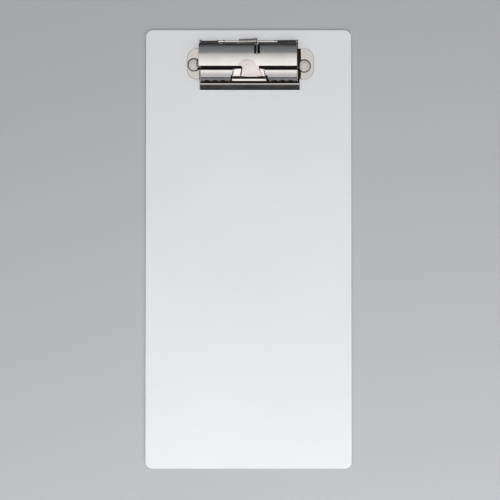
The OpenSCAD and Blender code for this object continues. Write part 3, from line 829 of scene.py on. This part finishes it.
def metal(name, colour, roughness, wobble, scratch, stretch):
    """Plated or drawn metal: uneven gloss, faint waviness and fine scratches along one direction."""
    m = Nodes(name)
    m.shader.inputs["Metallic"].default_value = 1.0
    patches = m.noise(90, 5)
    m.tint(patches, colour, [c * 0.93 for c in colour])
    m.join(m.span(patches, "Fac", *roughness), "Result", m.shader, "Roughness")
    waves = m.noise(140, 2)
    lines = m.noise(900, 3, stretch)
    soft = m.bump(waves, "Fac", wobble, 0.0004)
    fine = m.bump(lines, "Fac", scratch, 0.00006, soft)
    m.join(fine, "Normal", m.shader, "Normal")
    return m.material


def painted_shade_material():
    """Dull near-black painted shade, inside the clip, on the finger tab's wall and under the spring's leg.
    """
    m = Nodes("painted_shade_black")
    m.shader.inputs["Roughness"].default_value = 0.75
    m.shader.inputs["Specular IOR Level"].default_value = 0.08
    patches = m.noise(400, 4)
    m.tint(patches, (0.006, 0.0055, 0.005), (0.016, 0.014, 0.012))
    m.join(m.bump(patches, "Fac", 0.2, 0.0001), "Normal", m.shader, "Normal")
    return m.material


def anodised():
    """Satin anodised aluminium with a very fine grain."""
    m = Nodes("board_aluminium")
    m.shader.inputs["Metallic"].default_value = 0.35
    clouds = m.noise(14, 3)
    grain = m.noise(2600, 3)
    m.tint(clouds, (0.515, 0.523, 0.538), (0.50, 0.508, 0.523))
    m.join(m.span(clouds, "Fac", 0.34, 0.4), "Result", m.shader, "Roughness")
    m.join(m.bump(grain, "Fac", 0.12, 0.00002), "Normal", m.shader, "Normal")
    return m.material


def finish_piece(obj, material, slot, body, *nodes):
    """Gives a piece its material and body, and puts it in place of its CAD nodes; slot is not used."""
    obj.data.materials.append(material)
    if body:
        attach(obj, body)
    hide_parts(*nodes)
    return obj


# ---------------------------------------------------------------- studio
def make_floor():
    shell = Shell()
    size = 3000.0
    corners = [(-size, -size, 0), (size, -size, 0), (size, size, 0), (-size, size, 0)]
    shell.add(corners, np.tile([0, 0, 1.0], (4, 1)), [[0, 1, 2, 3]])
    floor = shell.piece("floor")
    m = Nodes("pale_floor")
    m.shader.inputs["Base Color"].default_value = (0.29, 0.295, 0.31, 1)
    m.shader.inputs["Roughness"].default_value = 0.9
    m.shader.inputs["Specular IOR Level"].default_value = 0.1
    floor.data.materials.append(m.material)


def softbox(name, place, aim, size, radiance, spread, colour):
    """A rectangular soft light at place that shines along aim. radiance is its brightness seen straight on,
    and spread, in degrees, how wide its grid lets it shine."""
    data = bpy.data.lights.new(name, "AREA")
    data.shape = "RECTANGLE"
    data.size, data.size_y = size
    data.spread = math.radians(spread)
    half = data.spread / 2
    gain = math.tan(half) / (math.tan(half) - half)
    data.energy, data.color = radiance * math.pi * size[0] * size[1] / gain, colour
    light = bpy.data.objects.new(name, data)
    bpy.context.scene.collection.objects.link(light)
    light.location = place
    light.rotation_euler = Vector(aim).to_track_quat("-Z", "Y").to_euler()
    return light


def make_lights():
    world = bpy.data.worlds.new("studio")
    bpy.context.scene.world = world
    world.use_nodes = True
    world.node_tree.nodes["Background"].inputs["Color"].default_value = (0.03, 0.031, 0.034, 1)
    world.node_tree.nodes["Background"].inputs["Strength"].default_value = 1.0
    lean = math.radians(20)
    down = (0, math.sin(lean), -math.cos(lean))
    softbox("key_box", (0.9, 1.002, 1.946), down, (5.0, 4.79), 0.81, 150, (1.0, 0.965, 0.93))
    softbox("key_edge", (0.9, -1.607, 0.997), down, (5.0, 0.76), 0.48, 150, (0.98, 0.965, 1.0))
    softbox("top_box", (0.3, 0, 1.5), (0, 0, -1), (4.0, 4.0), 0.22, 90, (1.0, 0.96, 0.92))
    softbox("wide_box", (0.5, 1.35, 1.4), (0, 0, -1), (7.0, 9.3), 0.29, 160, (0.9, 0.95, 1.0))
    softbox("front_box", (0.5, -4.2, 1.4), (0, 0.5, -1), (7.0, 1.8), 0.2, 178, (0.95, 0.97, 1.0))
    low = softbox("end_light", (0.2, -0.5, 0.6), (0, 0, -1), (1.2, 0.5), 6.5, 178, (1.0, 1.0, 1.0))
    low.visible_glossy = False
    low.data.use_shadow = False


def make_camera():
    data = bpy.data.cameras.new("camera")
    camera = bpy.data.objects.new("camera", data)
    bpy.context.scene.collection.objects.link(camera)
    distance, tilt, sight = 0.9, math.radians(1.7), 242.5 * MM      # sight: width seen at the board
    aim = Vector((0.0007, -0.0007, BOARD_TOP * MM))
    back = Vector((0, -math.sin(tilt), math.cos(tilt)))
    camera.location = aim + back * distance
    camera.rotation_euler = (tilt, 0, 0)
    data.sensor_width = 36
    data.lens = data.sensor_width * distance / sight
    data.clip_start, data.clip_end = 0.01, 20
    bpy.context.scene.camera = camera


# ---------------------------------------------------------------- assembly
bright_plate = metal("nickel_plate", (0.80, 0.775, 0.75), (0.12, 0.2), 0.12, 0.10, (0.05, 1, 1))
dull_plate = metal("nickel_plate_dull", (0.52, 0.505, 0.49), (0.11, 0.18), 0.12, 0.10, (0.05, 1, 1))
# painted shade: darker plate for the steep face of the teeth
teeth_shade_plate = metal("nickel_plate_teeth_shade", (0.36, 0.35, 0.35), (0.2, 0.3), 0.12, 0.10, (0.05, 1, 1))
pressed_plate = metal("nickel_plate_pressed", (0.67, 0.625, 0.615), (0.18, 0.28), 0.2, 0.15, (1, 0.05, 1))
# painted shade: near-black steel for undersides and inner faces inside the clip
inside_shade_steel = metal("inside_shade_steel", (0.06, 0.057, 0.053), (0.4, 0.5), 0.1, 0.1, (1, 1, 1))
painted_shade_black = painted_shade_material()
rivet_metal = metal("rivet_steel", (0.48, 0.465, 0.45), (0.14, 0.24), 0.10, 0.10, (1, 1, 1))
pin_metal = metal("pin_steel", (0.72, 0.68, 0.65), (0.18, 0.28), 0.05, 0.25, (0.04, 1, 1))
wire_metal = metal("spring_wire", (0.70, 0.68, 0.65), (0.16, 0.26), 0.05, 0.2, (1, 1, 1))

finish_piece(make_board(), anodised(), "board_aluminium", "base", "board")
# the base's second material is the near-black painted shade
finish_piece(make_base(), dull_plate, "nickel_plate", "base", "clip_base").data.materials.append(painted_shade_black)
for side in rivet_box:
    finish_piece(make_rivet(side), rivet_metal, "rivet_steel", "base", "rivet_" + side)
finish_piece(make_pin(), pin_metal, "pin_steel", "base", "hinge_pin")
for obj, node in ((make_jaw(), "toothed_jaw"), (make_cover(), "jaw_cover")):
    finish_piece(obj, bright_plate, "nickel_plate", "jaw", node)
    for extra in (inside_shade_steel, teeth_shade_plate, pressed_plate, painted_shade_black):
        obj.data.materials.append(extra)
spring = finish_piece(make_spring(), wire_metal, "spring_wire", None, "torsion_spring")
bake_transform(spring)

make_floor()
make_lights()
make_camera()
bpy.context.scene.view_settings.view_transform = "Standard"
